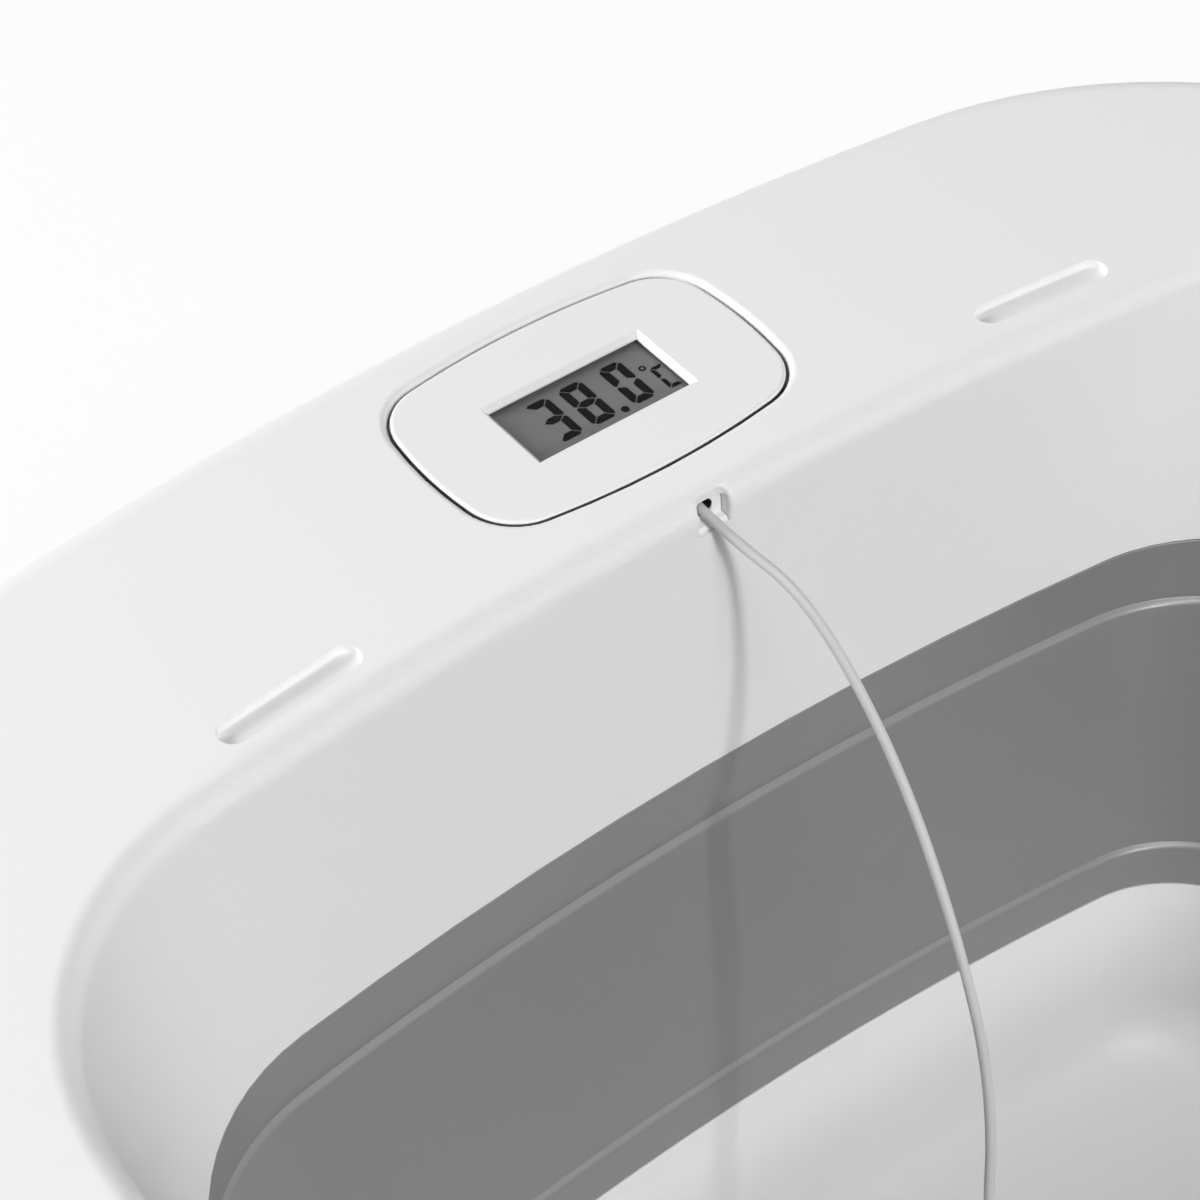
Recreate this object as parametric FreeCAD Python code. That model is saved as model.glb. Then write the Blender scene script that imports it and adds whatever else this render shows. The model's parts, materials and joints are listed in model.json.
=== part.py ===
"""Collapsible foot spa basin with a thermometer in its rim, in millimetres, +Z up.

The basin stands on its four feet at z = 0, with the thermometer at its +Y end. The stiff rim
slides straight down over the stiff base while the soft band between them folds, so the origin is
under the middle of the rim. Each piece is written to parts/NAME.step.
"""

import FreeCAD
import Part
import math
import os

Vector = FreeCAD.Vector

# ---------------------------------------------------------------- overall sizes
HEIGHT = 200.0            # feet to the top of the rim, stood up
RIM_WIDTH = 370.0
RIM_LENGTH = 440.0
RIM_CORNER = 96.0
END_BOW = 7.0             # degrees that half an end turns before its corner starts
SIDE_BOW = 4.5            # the same for half a side
WALL = 2.5                # moulded wall of the rim and the base

# ---------------------------------------------------------------- rim
FLANGE_FAR = 68.7         # rim's outer edge to the mouth, at the thermometer end
FLANGE_NEAR = 52.0
FLANGE_SIDE = 52.0
MOUTH_CORNER = 43.0
MOUTH_DEPTH = 62.4        # stiff inner wall, from the rim's top to the band
MOUTH_LEAN_FAR = 3.4      # how far the wall leans outwards from the band to the rim's top
MOUTH_LEAN_NEAR = 3.0
MOUTH_LEAN_SIDE = 17.5
MOUTH_TOP_CORNER = 49.2
APRON_DEPTH = 38.0
APRON_DRAFT = 1.0
OUTER_ROLL = 7.0          # rounding of the rim's outer edge
INNER_ROLL = 5.0          # rounding into the mouth

# ---------------------------------------------------------------- hand slots
SLOT_LENGTH = 92.0
SLOT_WIDTH = 16.0
SLOT_LIP = 2.0            # wall of the collar round a slot
SLOT_LIP_DEPTH = 13.0
SLOT_ROUND = 1.8
SLOT_INSET = 16.8         # slot's centre line from the rim's outer edge

# ---------------------------------------------------------------- ribs under the rim
TRIM_GAP = 1.0            # room round the walls where the rim's underside is trimmed
RIB_WALL = 1.8
RIB_DEPTH = 14.0
END_RIBS = (-92.0, -52.0, 52.0, 92.0)
SIDE_RIBS = (-112.0, -62.0, 62.0, 112.0)

# ---------------------------------------------------------------- collapsible band
BAND_WALL = 2.2
UPPER_STRIP = 17.1        # height of the strip that stays with the rim
FOLD_STRIP = 57.7         # height of the strip that turns over
LOWER_STRIP = 10.0        # height of the strip that stays with the base
LEDGE = 1.1               # width and height of each fold line's ledge
UPPER_FLARE = 1.2         # how far the upper strip leans outwards
FOLD_TAPER = 11.8         # how far the turning strip leans inwards
LOWER_TAPER = 1.1         # the same for the lower strip
SEAM = 0.2                # joint line between the band and its neighbours

# ---------------------------------------------------------------- base
BASE_TAPER = 3.5          # how far the base's wall leans inwards
FLOOR_TOP = 8.0
FLOOR_WALL = 3.5
FLOOR_ROUND = 14.0        # inside rounding from the wall to the floor
FOOT_RADIUS = 13.0
FOOT_RECESS = 1.0
FOOT_INSET_X = 23.6       # foot's centre from the side of the flat floor
FOOT_INSET_Y = 28.25      # the same from its ends
FOOT_ROUND = 1.0
SEAT_GAP = 0.2            # clearance where one piece rests in another

# ---------------------------------------------------------------- drain
DRAIN_RADIUS = 11.0
DRAIN_INSET = 32.6        # drain's centre from the near end of the flat floor
PLUG_FLANGE = 15.0
PLUG_FLANGE_WALL = 2.4
PLUG_BEVEL = 1.2          # round the flange's top
PLUG_LEAD = 0.5           # round the stem's foot
PLUG_GRIP = 16.0          # height of the plug's grip above its flange
PLUG_GRIP_WALL = 4.0
PLUG_GRIP_WIDTH = 16.0
PLUG_GRIP_ROUND = 5.6
SEAL_SECTION = 1.0        # radius of the drain seal's cord
SEAL_GAP = 0.1
PLUG_GAP = 0.3

# ---------------------------------------------------------------- massage rollers
ROLLERS_EACH_SIDE = 3
ROLLER_RADIUS = 10.0
ROLLER_WAIST = 7.0
ROLLER_RINGS = 4
RING_FOOT = 0.14          # share of a ring's pitch before its slope starts
RING_CREST = 0.34         # share of a ring's pitch before its crest starts
ROLLER_PITCH = 26.0
ROLLER_Z = 19.5
ROLLER_END_GAP = 0.8
AXLE_RADIUS = 2.5
RUNNING_GAP = 0.06
CRADLE_SIDE_GAP = 5.8     # cradle to the side of the flat floor
CRADLE_MIDDLE_GAP = 16.2  # cradle to the middle of the basin
CRADLE_BACK = 5.65        # cradles' centre behind the middle of the mouth, towards the heels
CRADLE_RAIL = 6.0
CRADLE_BAR = 5.0
CRADLE_TOP = 23.5
CRADLE_CORNER = 5.0
CRADLE_ROUND = 1.5
AXLE_END_WALL = 1.5       # rail left beyond the end of an axle's seat
PEG_RADIUS = 2.4
PEG_DEPTH = 2.0

# ---------------------------------------------------------------- thermometer
PANEL_WIDTH = 67.0
PANEL_LENGTH = 42.3
PANEL_CORNER = 10.7
PANEL_END_BOW = 8.5
PANEL_SIDE_BOW = 8.2
PANEL_INSET = 33.2        # panel's centre from the rim's outer edge
PANEL_WALL = 2.4
PANEL_DROP = 0.3          # panel's face below the rim's top
PANEL_GAP = 0.45
PANEL_ROUND = 0.8
RECESS_ROLL = 1.4
WINDOW_WIDTH = 32.0
WINDOW_LENGTH = 15.0
WINDOW_BEVEL = 0.9
WINDOW_WALL = 1.3         # panel's wall round the window, over the lens
LENS_WALL = 0.5
LENS_LAP = 2.0            # how far the lens reaches under the panel
LCD_WALL = 1.8
LCD_LAP = 1.4
ZEBRA_HEIGHT = 5.0
ZEBRA_WIDTH = 1.6
BOARD_WALL = 1.2
BOARD_GAP = 0.4           # board's edge to the case's wall and to its posts
CELL_RADIUS = 10.0
CELL_WALL = 3.2
CELL_ROUND = 0.4
CLIP_WALL = 0.4
CLIP_WIDTH = 6.0
CLIP_GAP = 0.8            # clip's tongues to the cell's side
CLIP_FOOT = 0.4           # tongues' ends above the cell's underside
CASE_INSET = 2.6          # case's outside from the panel's edge
CASE_WALL = 1.5
CASE_DEPTH = 16.4         # panel's underside to the case's underside
GASKET = 0.7
LEDGE_REACH = 3.0         # rim's support under the case
LEDGE_WALL = 2.0
POCKET_WALL = 2.0
COVER_RADIUS = 12.5
COVER_WALL = 2.4
COVER_GAP = 0.3
COVER_SLOT = 1.6
COVER_SLOT_LENGTH = 16.0
COVER_SLOT_DEPTH = 1.4
COLLAR_WALL = 1.8         # wall of the battery port beyond its bayonet track
COVER_TURN = 60.0         # degrees from locked to the lugs' way out
LUG = 1.3                 # bayonet lugs of the battery cover
LUG_HALF = 2.5
SCREW_RADIUS = 1.1
SCREW_HEAD = 2.0
SCREW_HEAD_WALL = 0.5
SCREW_SINK = 0.6          # depth of the seat of a screw's head
SCREW_GAP = 0.1
SCREW_END_GAP = 1.0
POST_RADIUS = 2.4
SCREW_X = 23.5
SCREW_Y = 9.0

# ---------------------------------------------------------------- grooves, notch and cord
GROOVE_X = 79.2
GROOVE_BACK = 12.8        # groove's centre line from the mouth
GROOVE_LENGTH = 28.0
GROOVE_WIDTH = 5.4
GROOVE_DEPTH = 1.5
GROOVE_ROUND = 0.7
NOTCH_X = 1.4             # middle of the notch, to the right of the basin's middle
NOTCH_WIDTH = 6.4
NOTCH_OPEN = 5.5          # how far behind the mouth the notch is open at the top
NOTCH_REACH = 9.0         # how far behind the mouth its seat for the grommet goes
NOTCH_ROOF = 2.7          # rim left over the back of that seat
NOTCH_DROP = 8.0
NOTCH_CORNER = 1.6
NOTCH_ROUND = 0.8         # rounding of the notch's top edges
GROMMET_GAP = 0.15
GROMMET_LEDGE = 7.0       # ledge that the cord passes over, below the rim's top
GROMMET_BACK = 5.4        # face that the cord comes out of, behind the mouth
GROMMET_FRONT_GAP = 0.6   # grommet's front behind the mouth's wall
GROMMET_BEVEL = 0.5       # along the ledge's front
GROMMET_LEAN = 0.5        # how far the face leans back
CORD_DIAMETER = 1.85
CORD_HOLE = 3.2           # diameter of the grommet's hole
CORD_HOLE_SHIFT = (0.4, 0.0, 0.3)   # the hole's middle from the cord's
PROBE_RADIUS = 2.1
PROBE_LENGTH = 20.0
# The cord from its grommet down the wall, as (x, y from the mouth's far end, z from the rim's top).
CORD_HANGING = (
    (0.3, 9.5, -4.3),
    (1.0, -1.4, -6.3),
    (5.3, -16.5, -10.8),
    (7.1, -37.9, -31.4),
    (1.5, -61.9, -51.1),
    (0.7, -75.2, -79.7),
    (-4.7, -83.2, -110.3),
)
# Its end towards the probe, as (x, y from the mouth's far end, z from the floor).
CORD_LYING = (
    (-5.1, -94.9, 49.7),
    (-4.0, -107.3, 18.0),
    (-1.8, -133.3, 2.4),
    (-1.5, -155.3, 2.4),
)
CORD_BEND = 0.45          # share of the shorter run that a bend takes on each side

# ---------------------------------------------------------------- worked-out places
BAND_TOP = HEIGHT - MOUTH_DEPTH
RIDGE_HIGH = BAND_TOP - UPPER_STRIP
RIDGE_LOW = RIDGE_HIGH - FOLD_STRIP
BAND_BOTTOM = RIDGE_LOW - LOWER_STRIP
APRON_Z = HEIGHT - APRON_DEPTH
FLOOR_BOTTOM = FLOOR_TOP - FLOOR_WALL
MOUTH_WIDTH = RIM_WIDTH - 2 * FLANGE_SIDE
MOUTH_LENGTH = RIM_LENGTH - FLANGE_FAR - FLANGE_NEAR
MOUTH_Y = (FLANGE_NEAR - FLANGE_FAR) / 2
MOUTH_FAR = RIM_LENGTH / 2 - FLANGE_FAR
BASE_INSET = 2 * LEDGE + FOLD_TAPER + LOWER_TAPER - UPPER_FLARE
FLAT_INSET = BASE_INSET + BASE_TAPER + FLOOR_ROUND
FLAT_X = MOUTH_WIDTH / 2 - FLAT_INSET
FLAT_FAR = MOUTH_Y + MOUTH_LENGTH / 2 - FLAT_INSET
FLAT_NEAR = MOUTH_Y - MOUTH_LENGTH / 2 + FLAT_INSET
DRAIN_Y = FLAT_NEAR + DRAIN_INSET
PANEL_Y = RIM_LENGTH / 2 - PANEL_INSET
PANEL_TOP = HEIGHT - PANEL_DROP
PANEL_UNDER = PANEL_TOP - PANEL_WALL
CASE_TOP = PANEL_UNDER - GASKET
CASE_UNDER = PANEL_UNDER - CASE_DEPTH
LENS_TOP = PANEL_TOP - WINDOW_WALL
LCD_TOP = LENS_TOP - LENS_WALL - SEAT_GAP
ZEBRA_TOP = LCD_TOP - LCD_WALL
BOARD_TOP = ZEBRA_TOP - ZEBRA_HEIGHT
CELL_TOP = BOARD_TOP - BOARD_WALL - CLIP_WALL - SEAT_GAP
POCKET_UNDER = CASE_UNDER - SEAT_GAP - LEDGE_WALL
CRADLE_UNDER = FLOOR_TOP + SEAT_GAP
CRADLE_WIDTH = FLAT_X - CRADLE_SIDE_GAP - CRADLE_MIDDLE_GAP
CRADLE_LENGTH = ROLLERS_EACH_SIDE * ROLLER_PITCH + 2 * CRADLE_BAR
CRADLE_X = CRADLE_MIDDLE_GAP + CRADLE_WIDTH / 2
CRADLE_Y = MOUTH_Y - CRADLE_BACK
ROLLER_LENGTH = CRADLE_WIDTH - 2 * (ROLLER_END_GAP + CRADLE_RAIL)
AXLE_LENGTH = CRADLE_WIDTH - 2 * AXLE_END_WALL
CORD_ROUTE = [(x, MOUTH_FAR + y, HEIGHT + z) for x, y, z in CORD_HANGING]
CORD_ROUTE += [(x, MOUTH_FAR + y, FLOOR_TOP + z) for x, y, z in CORD_LYING]


# ---------------------------------------------------------------- outlines
class Outline:
    """Closed curve of eight arcs: a rounded rectangle whose ends and sides bow outwards.

    Each arc meets the next on a common tangent, so an inset of the curve is parallel to it.
    """

    def __init__(self, width, length, corner, end_bow, side_bow, middle_y=0.0):
        end = math.radians(end_bow)
        side = math.radians(side_bow)
        rise = math.tan(end / 2)
        swell = math.tan(side / 2)
        across = width / 2 - corner
        along = length / 2 - corner
        x = (across - along * swell) / (1 - rise * swell)
        y = along - x * rise
        end_radius = corner + x / math.sin(end)
        side_radius = corner + y / math.sin(side)
        quarter = math.pi / 2
        self.end_centre = length / 2 - end_radius + middle_y
        self.end_radius = end_radius
        arcs = []
        for turn in (0, 1):
            flip = -1 if turn else 1
            base = 2 * quarter * turn
            arcs.append((0, flip * (length / 2 - end_radius), end_radius, base - end, base + end))
            arcs.append((flip * x, flip * y, corner, base + end, base + quarter - side))
            arcs.append((flip * (width / 2 - side_radius), 0, side_radius,
                         base + quarter - side, base + quarter + side))
            arcs.append((flip * x, -flip * y, corner, base + quarter + side, base + 2 * quarter - end))
        self.arcs = arcs
        self.middle_y = middle_y

    def wire(self, inset, z):
        """The curve at height z, moved inwards by inset."""
        edges = []
        for x, y, radius, start, stop in self.arcs:
            points = []
            for angle in (start, (start + stop) / 2, stop):
                reach = radius - inset
                points.append(Vector(x + reach * math.sin(angle),
                                     self.middle_y + y + reach * math.cos(angle), z))
            edges.append(Part.Arc(*points).toShape())
        return Part.Wire(edges)

    def prism(self, inset, low, high):
        face = Part.Face(self.wire(inset, low))
        return face.extrude(Vector(0, 0, high - low))

    def taper(self, low_inset, low, high_inset, high):
        return Part.makeLoft([self.wire(low_inset, low), self.wire(high_inset, high)], True, True)

    def stack(self, levels):
        """Solid through several (inset, z) levels."""
        return Part.makeLoft([self.wire(inset, z) for inset, z in levels], True, True)


RIM = Outline(RIM_WIDTH, RIM_LENGTH, RIM_CORNER, END_BOW, SIDE_BOW)
MOUTH = Outline(MOUTH_WIDTH, MOUTH_LENGTH, MOUTH_CORNER, END_BOW, SIDE_BOW, MOUTH_Y)
PANEL = Outline(PANEL_WIDTH, PANEL_LENGTH, PANEL_CORNER, PANEL_END_BOW, PANEL_SIDE_BOW, PANEL_Y)


# ---------------------------------------------------------------- small helpers
def box(x0, x1, y0, y1, z0, z1):
    return Part.makeBox(x1 - x0, y1 - y0, z1 - z0, Vector(x0, y0, z0))


def rod(radius, height, foot, axis=Vector(0, 0, 1)):
    return Part.makeCylinder(radius, height, foot, axis)


def rounded_box(x0, x1, y0, y1, z0, z1, corner):
    block = box(x0, x1, y0, y1, z0, z1)
    upright = [edge for edge in block.Edges if abs(edge.tangentAt(edge.FirstParameter).z) > 0.9]
    return block.makeFillet(corner, upright)


def stadium(length, width, low, high):
    """Upright prism with round ends, along X, centred on the Z axis."""
    half = (length - width) / 2
    radius = width / 2
    left = Part.Arc(Vector(-half, radius, low), Vector(-half - radius, 0, low),
                    Vector(-half, -radius, low)).toShape()
    right = Part.Arc(Vector(half, -radius, low), Vector(half + radius, 0, low),
                     Vector(half, radius, low)).toShape()
    under = Part.LineSegment(Vector(-half, -radius, low), Vector(half, -radius, low)).toShape()
    over = Part.LineSegment(Vector(half, radius, low), Vector(-half, radius, low)).toShape()
    face = Part.Face(Part.Wire([left, under, right, over]))
    return face.extrude(Vector(0, 0, high - low))


def flat_edges(shape, z, inside=None):
    """Edges that lie at height z, all of them or those with their middle in a bound box."""
    found = []
    for edge in shape.Edges:
        box_ = edge.BoundBox
        if abs(box_.ZMin - z) < 1e-4 and abs(box_.ZMax - z) < 1e-4:
            if inside is None or inside.isInside(box_.Center):
                found.append(edge)
    return found


def hole_edges(shape, z):
    """Edges of every hole in the level face at height z."""
    found = []
    for face in shape.Faces:
        box_ = face.BoundBox
        if abs(box_.ZMin - z) < 1e-4 and abs(box_.ZMax - z) < 1e-4:
            for wire in face.Wires:
                if not wire.isSame(face.OuterWire):
                    found.extend(wire.Edges)
    return found


def region(x0, x1, y0, y1, z0, z1):
    return FreeCAD.BoundBox(x0, y0, z0, x1, y1, z1)


def revolved(points, centre, axis):
    """Solid of revolution of a polygon of points about an axis through centre."""
    face = Part.Face(Part.makePolygon(list(points) + [points[0]]))
    return face.revolve(centre, axis, 360)


def write(name, shape):
    if not shape.isValid():
        print("NOT VALID:", name)
    shape.exportStep(os.path.join("parts", name + ".step"))
    print(f"{name:24s} solids {len(shape.Solids):2d}  cm3 {shape.Volume / 1000:9.3f}")


# ---------------------------------------------------------------- rim
def mouth_at(z):
    """The mouth's outline at height z: nominal at the band, and wider towards the rim's top."""
    share = (z - BAND_TOP) / MOUTH_DEPTH
    width = MOUTH_WIDTH + 2 * MOUTH_LEAN_SIDE * share
    length = MOUTH_LENGTH + (MOUTH_LEAN_FAR + MOUTH_LEAN_NEAR) * share
    corner = MOUTH_CORNER + (MOUTH_TOP_CORNER - MOUTH_CORNER) * share
    middle = MOUTH_Y + (MOUTH_LEAN_FAR - MOUTH_LEAN_NEAR) / 2 * share
    return Outline(width, length, corner, END_BOW, SIDE_BOW, middle)


def mouth_solid(grow, low, high):
    """What the mouth leaves open between two heights, grown outwards."""
    return Part.makeLoft([mouth_at(z).wire(-grow, z) for z in (low, high)], True, True)


def rim_inset(z):
    return APRON_DRAFT * (z - APRON_Z) / APRON_DEPTH


def rim_block(skin, low):
    """Ring between the rim's outline and the mouth, its two top edges rolled over.

    skin is how deep below the rim's surface this ring's own surface lies: 0 gives the outside of
    the moulding, and the wall's thickness gives the hollow under it.
    """
    top = HEIGHT - skin
    outer = RIM.taper(rim_inset(low) + skin, low, rim_inset(top) + skin, top)
    outer = outer.makeFillet(OUTER_ROLL - skin, flat_edges(outer, top))
    ring = outer.cut(mouth_solid(skin, low - 1, top + 1))
    return ring.makeFillet(INNER_ROLL - skin, hole_edges(ring, top))


def ribs(hollow):
    """Stiffening ribs across the hollow under the flange."""
    low = HEIGHT - WALL - RIB_DEPTH
    half = RIB_WALL / 2
    slabs = []
    for x in END_RIBS:
        slabs.append(box(x - half, x + half, -RIM_LENGTH, RIM_LENGTH, low, HEIGHT))
    for y in SIDE_RIBS:
        slabs.append(box(-RIM_WIDTH, RIM_WIDTH, y - half, y + half, low, HEIGHT))
    return [hollow.common(slab) for slab in slabs]


def groove():
    """Shallow round-ended groove beside the thermometer, on the +X side."""
    tool = stadium(GROOVE_LENGTH, GROOVE_WIDTH, HEIGHT - GROOVE_DEPTH, HEIGHT + 1)
    tool = tool.makeFillet(GROOVE_ROUND, flat_edges(tool, HEIGHT - GROOVE_DEPTH))
    angle = math.asin(GROOVE_X / (MOUTH.end_radius + GROOVE_BACK))
    tool.rotate(Vector(0, 0, 0), Vector(0, 0, 1), -math.degrees(angle))
    reach = MOUTH.end_radius + GROOVE_BACK
    tool.translate(Vector(GROOVE_X, MOUTH.end_centre + reach * math.cos(angle), 0))
    return tool


def hand_slot(grow, low, high):
    tool = stadium(SLOT_LENGTH + 2 * grow, SLOT_WIDTH + 2 * grow, low, high)
    tool.rotate(Vector(0, 0, 0), Vector(0, 0, 1), 90)
    tool.translate(Vector(RIM_WIDTH / 2 - SLOT_INSET, 0, 0))
    return tool


def mirrored(shape):
    return shape.mirror(Vector(0, 0, 0), Vector(1, 0, 0))


def rim_shell():
    low = BAND_TOP + SEAM
    hollow = rim_block(WALL, low - 1)
    skirt = mouth_solid(WALL + TRIM_GAP, low - 3, APRON_Z + 1)
    trim = RIM.prism(-APRON_DRAFT - TRIM_GAP, low - 2, APRON_Z).cut(skirt)
    shell = rim_block(0, low).cut(hollow).cut(trim)

    inside = HEIGHT - WALL / 2
    collar = hand_slot(SLOT_LIP, HEIGHT - SLOT_LIP_DEPTH, inside)
    pocket = PANEL.prism(-PANEL_GAP - POCKET_WALL, POCKET_UNDER, inside)
    shell = shell.fuse([collar, mirrored(collar), pocket] + ribs(hollow))

    slot = hand_slot(0, APRON_Z, HEIGHT + 1)
    shell = shell.cut([slot, mirrored(slot)])
    shell = shell.cut([
        PANEL.prism(-PANEL_GAP, PANEL_UNDER - SEAT_GAP, HEIGHT + 1),
        PANEL.prism(CASE_INSET - PANEL_GAP, CASE_UNDER - SEAT_GAP, HEIGHT),
        PANEL.prism(CASE_INSET + LEDGE_REACH, POCKET_UNDER - 1, HEIGHT),
    ])
    cut = groove()
    shell = shell.cut([cut, mirrored(cut)])

    edge = RIM_WIDTH / 2
    reach = SLOT_LENGTH / 2 + 1
    for side in (-1, 1):
        middle = side * (edge - SLOT_INSET)
        zone = region(middle - SLOT_WIDTH, middle + SLOT_WIDTH, -reach, reach, HEIGHT - 1, HEIGHT + 1)
        shell = shell.makeFillet(SLOT_ROUND, flat_edges(shell, HEIGHT, zone))
    half = PANEL_WIDTH / 2 + PANEL_GAP + 1
    zone = region(-half, half, PANEL_Y - PANEL_LENGTH, PANEL_Y + PANEL_LENGTH, HEIGHT - 1, HEIGHT + 1)
    shell = shell.makeFillet(RECESS_ROLL, flat_edges(shell, HEIGHT, zone))

    shell = shell.cut(notch_block(NOTCH_OPEN, HEIGHT + 1, NOTCH_CORNER))
    shell = shell.makeFillet(NOTCH_ROUND, notch_rim(shell))
    return shell.cut(notch_block(NOTCH_REACH, HEIGHT - NOTCH_ROOF))


def notch_block(reach, high, corner=0.0):
    """Block cut out of the mouth's rolled edge, its upright back corners rounded."""
    half = NOTCH_WIDTH / 2
    back = MOUTH_FAR + reach
    block = box(NOTCH_X - half, NOTCH_X + half, MOUTH_FAR - INNER_ROLL, back, HEIGHT - NOTCH_DROP, high)
    if corner:
        upright = [edge for edge in block.Edges
                   if edge.BoundBox.ZLength > 1 and edge.BoundBox.YMin > back - corner]
        block = block.makeFillet(corner, upright)
    return block


def notch_rim(shell):
    """Edges where the notch's walls meet the rolled edge, without those along its floor."""
    floor = HEIGHT - NOTCH_DROP
    half = NOTCH_WIDTH / 2 + SEAT_GAP
    zone = region(NOTCH_X - half, NOTCH_X + half, MOUTH_FAR - WALL, MOUTH_FAR + NOTCH_OPEN + SEAT_GAP,
                  floor + NOTCH_ROUND, HEIGHT + SEAT_GAP)
    found = []
    for edge in shell.Edges:
        box_ = edge.BoundBox
        upright = box_.XLength < 1e-4 and box_.YLength < 1e-4
        if zone.isInside(box_.Center) and box_.XLength < NOTCH_WIDTH and not upright:
            found.append(edge)
    return found


def yz_prism(points, middle, half_width):
    """Prism across X of an outline given as (y, z) points."""
    corners = [Vector(middle - half_width, y, z) for y, z in points]
    face = Part.Face(Part.makePolygon(corners + [corners[0]]))
    return face.extrude(Vector(2 * half_width, 0, 0))


def cord_grommet():
    """Block that fills the notch's seat and lets the cord out of its face, over a small ledge."""
    gap = GROMMET_GAP
    lean = MOUTH_LEAN_FAR * (1 - NOTCH_DROP / MOUTH_DEPTH)
    front = MOUTH_FAR + lean + GROMMET_FRONT_GAP
    face = MOUTH_FAR + GROMMET_BACK
    back = MOUTH_FAR + NOTCH_REACH - gap
    foot = HEIGHT - NOTCH_DROP + gap
    roof = HEIGHT - NOTCH_ROOF - gap
    ledge = HEIGHT - GROMMET_LEDGE
    block = yz_prism([(front, foot), (front, ledge - GROMMET_BEVEL), (front + GROMMET_BEVEL, ledge),
                      (face, ledge), (face + GROMMET_LEAN, roof), (back, roof), (back, foot)],
                     NOTCH_X, NOTCH_WIDTH / 2 - gap)
    outside = Vector(*CORD_ROUTE[1]) + Vector(*CORD_HOLE_SHIFT)
    along = Vector(*CORD_ROUTE[0]) - Vector(*CORD_ROUTE[1])
    hole = rod(CORD_HOLE / 2, 3 * along.Length, outside, along)
    return block.cut(hole)


# ---------------------------------------------------------------- band and base
def band_levels():
    """(inset, z) of the band's inner face, from its top to its bottom."""
    levels = [(0.0, BAND_TOP - SEAM)]
    inset = -UPPER_FLARE
    levels.append((inset, RIDGE_HIGH + LEDGE))
    inset += LEDGE
    levels.append((inset, RIDGE_HIGH))
    inset += FOLD_TAPER
    levels.append((inset, RIDGE_LOW + LEDGE))
    inset += LEDGE
    levels.append((inset, RIDGE_LOW))
    inset += LOWER_TAPER
    levels.append((inset, BAND_BOTTOM + SEAM))
    return levels


def collapsible_band():
    inner = band_levels()
    outer = [(inset - BAND_WALL, z) for inset, z in inner]
    first, last = inner[0], inner[-1]
    core = [(first[0], first[1] + 1)] + inner[1:-1] + [(last[0], last[1] - 1)]
    return MOUTH.stack(outer).cut(MOUTH.stack(core))


def feet_places():
    reach = FLAT_X - FOOT_INSET_X
    return [(x, y) for y in (FLAT_FAR - FOOT_INSET_Y, FLAT_NEAR + FOOT_INSET_Y) for x in (-reach, reach)]


def peg_places(side):
    """Pegs at two opposite corners of a cradle."""
    dx = CRADLE_WIDTH / 2 - CRADLE_RAIL / 2
    dy = CRADLE_LENGTH / 2 - CRADLE_BAR / 2 - CRADLE_CORNER / 2
    return [(side * CRADLE_X + dx, CRADLE_Y + dy), (side * CRADLE_X - dx, CRADLE_Y - dy)]


def base_shell():
    top = BAND_BOTTOM
    outer = MOUTH.taper(BASE_INSET + BASE_TAPER - WALL, FLOOR_BOTTOM, BASE_INSET - WALL, top)
    outer = outer.makeFillet(FLOOR_ROUND + WALL, flat_edges(outer, FLOOR_BOTTOM))
    rate = BASE_TAPER / (top - FLOOR_TOP)
    inner = MOUTH.taper(BASE_INSET + BASE_TAPER, FLOOR_TOP, BASE_INSET - rate, top + 1)
    inner = inner.makeFillet(FLOOR_ROUND, flat_edges(inner, FLOOR_TOP))
    shell = outer.cut(inner)
    tools = [rod(DRAIN_RADIUS, FLOOR_WALL + 2, Vector(0, DRAIN_Y, FLOOR_BOTTOM - 1))]
    for x, y in feet_places():
        tools.append(rod(FOOT_RADIUS + SEAT_GAP, FOOT_RECESS + 1, Vector(x, y, FLOOR_BOTTOM - 1)))
    for side in (-1, 1):
        for x, y in peg_places(side):
            tools.append(rod(PEG_RADIUS + SEAT_GAP / 2, PEG_DEPTH + SEAT_GAP + 1,
                             Vector(x, y, FLOOR_TOP - PEG_DEPTH - SEAT_GAP)))
    return shell.cut(tools)


def foot_pad(x, y):
    """Soft foot, pressed into its recess, with a rounded tread."""
    height = FLOOR_BOTTOM + FOOT_RECESS - SEAT_GAP / 2
    pad = rod(FOOT_RADIUS, height, Vector(x, y, 0))
    return pad.makeFillet(FOOT_ROUND, flat_edges(pad, 0))


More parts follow.
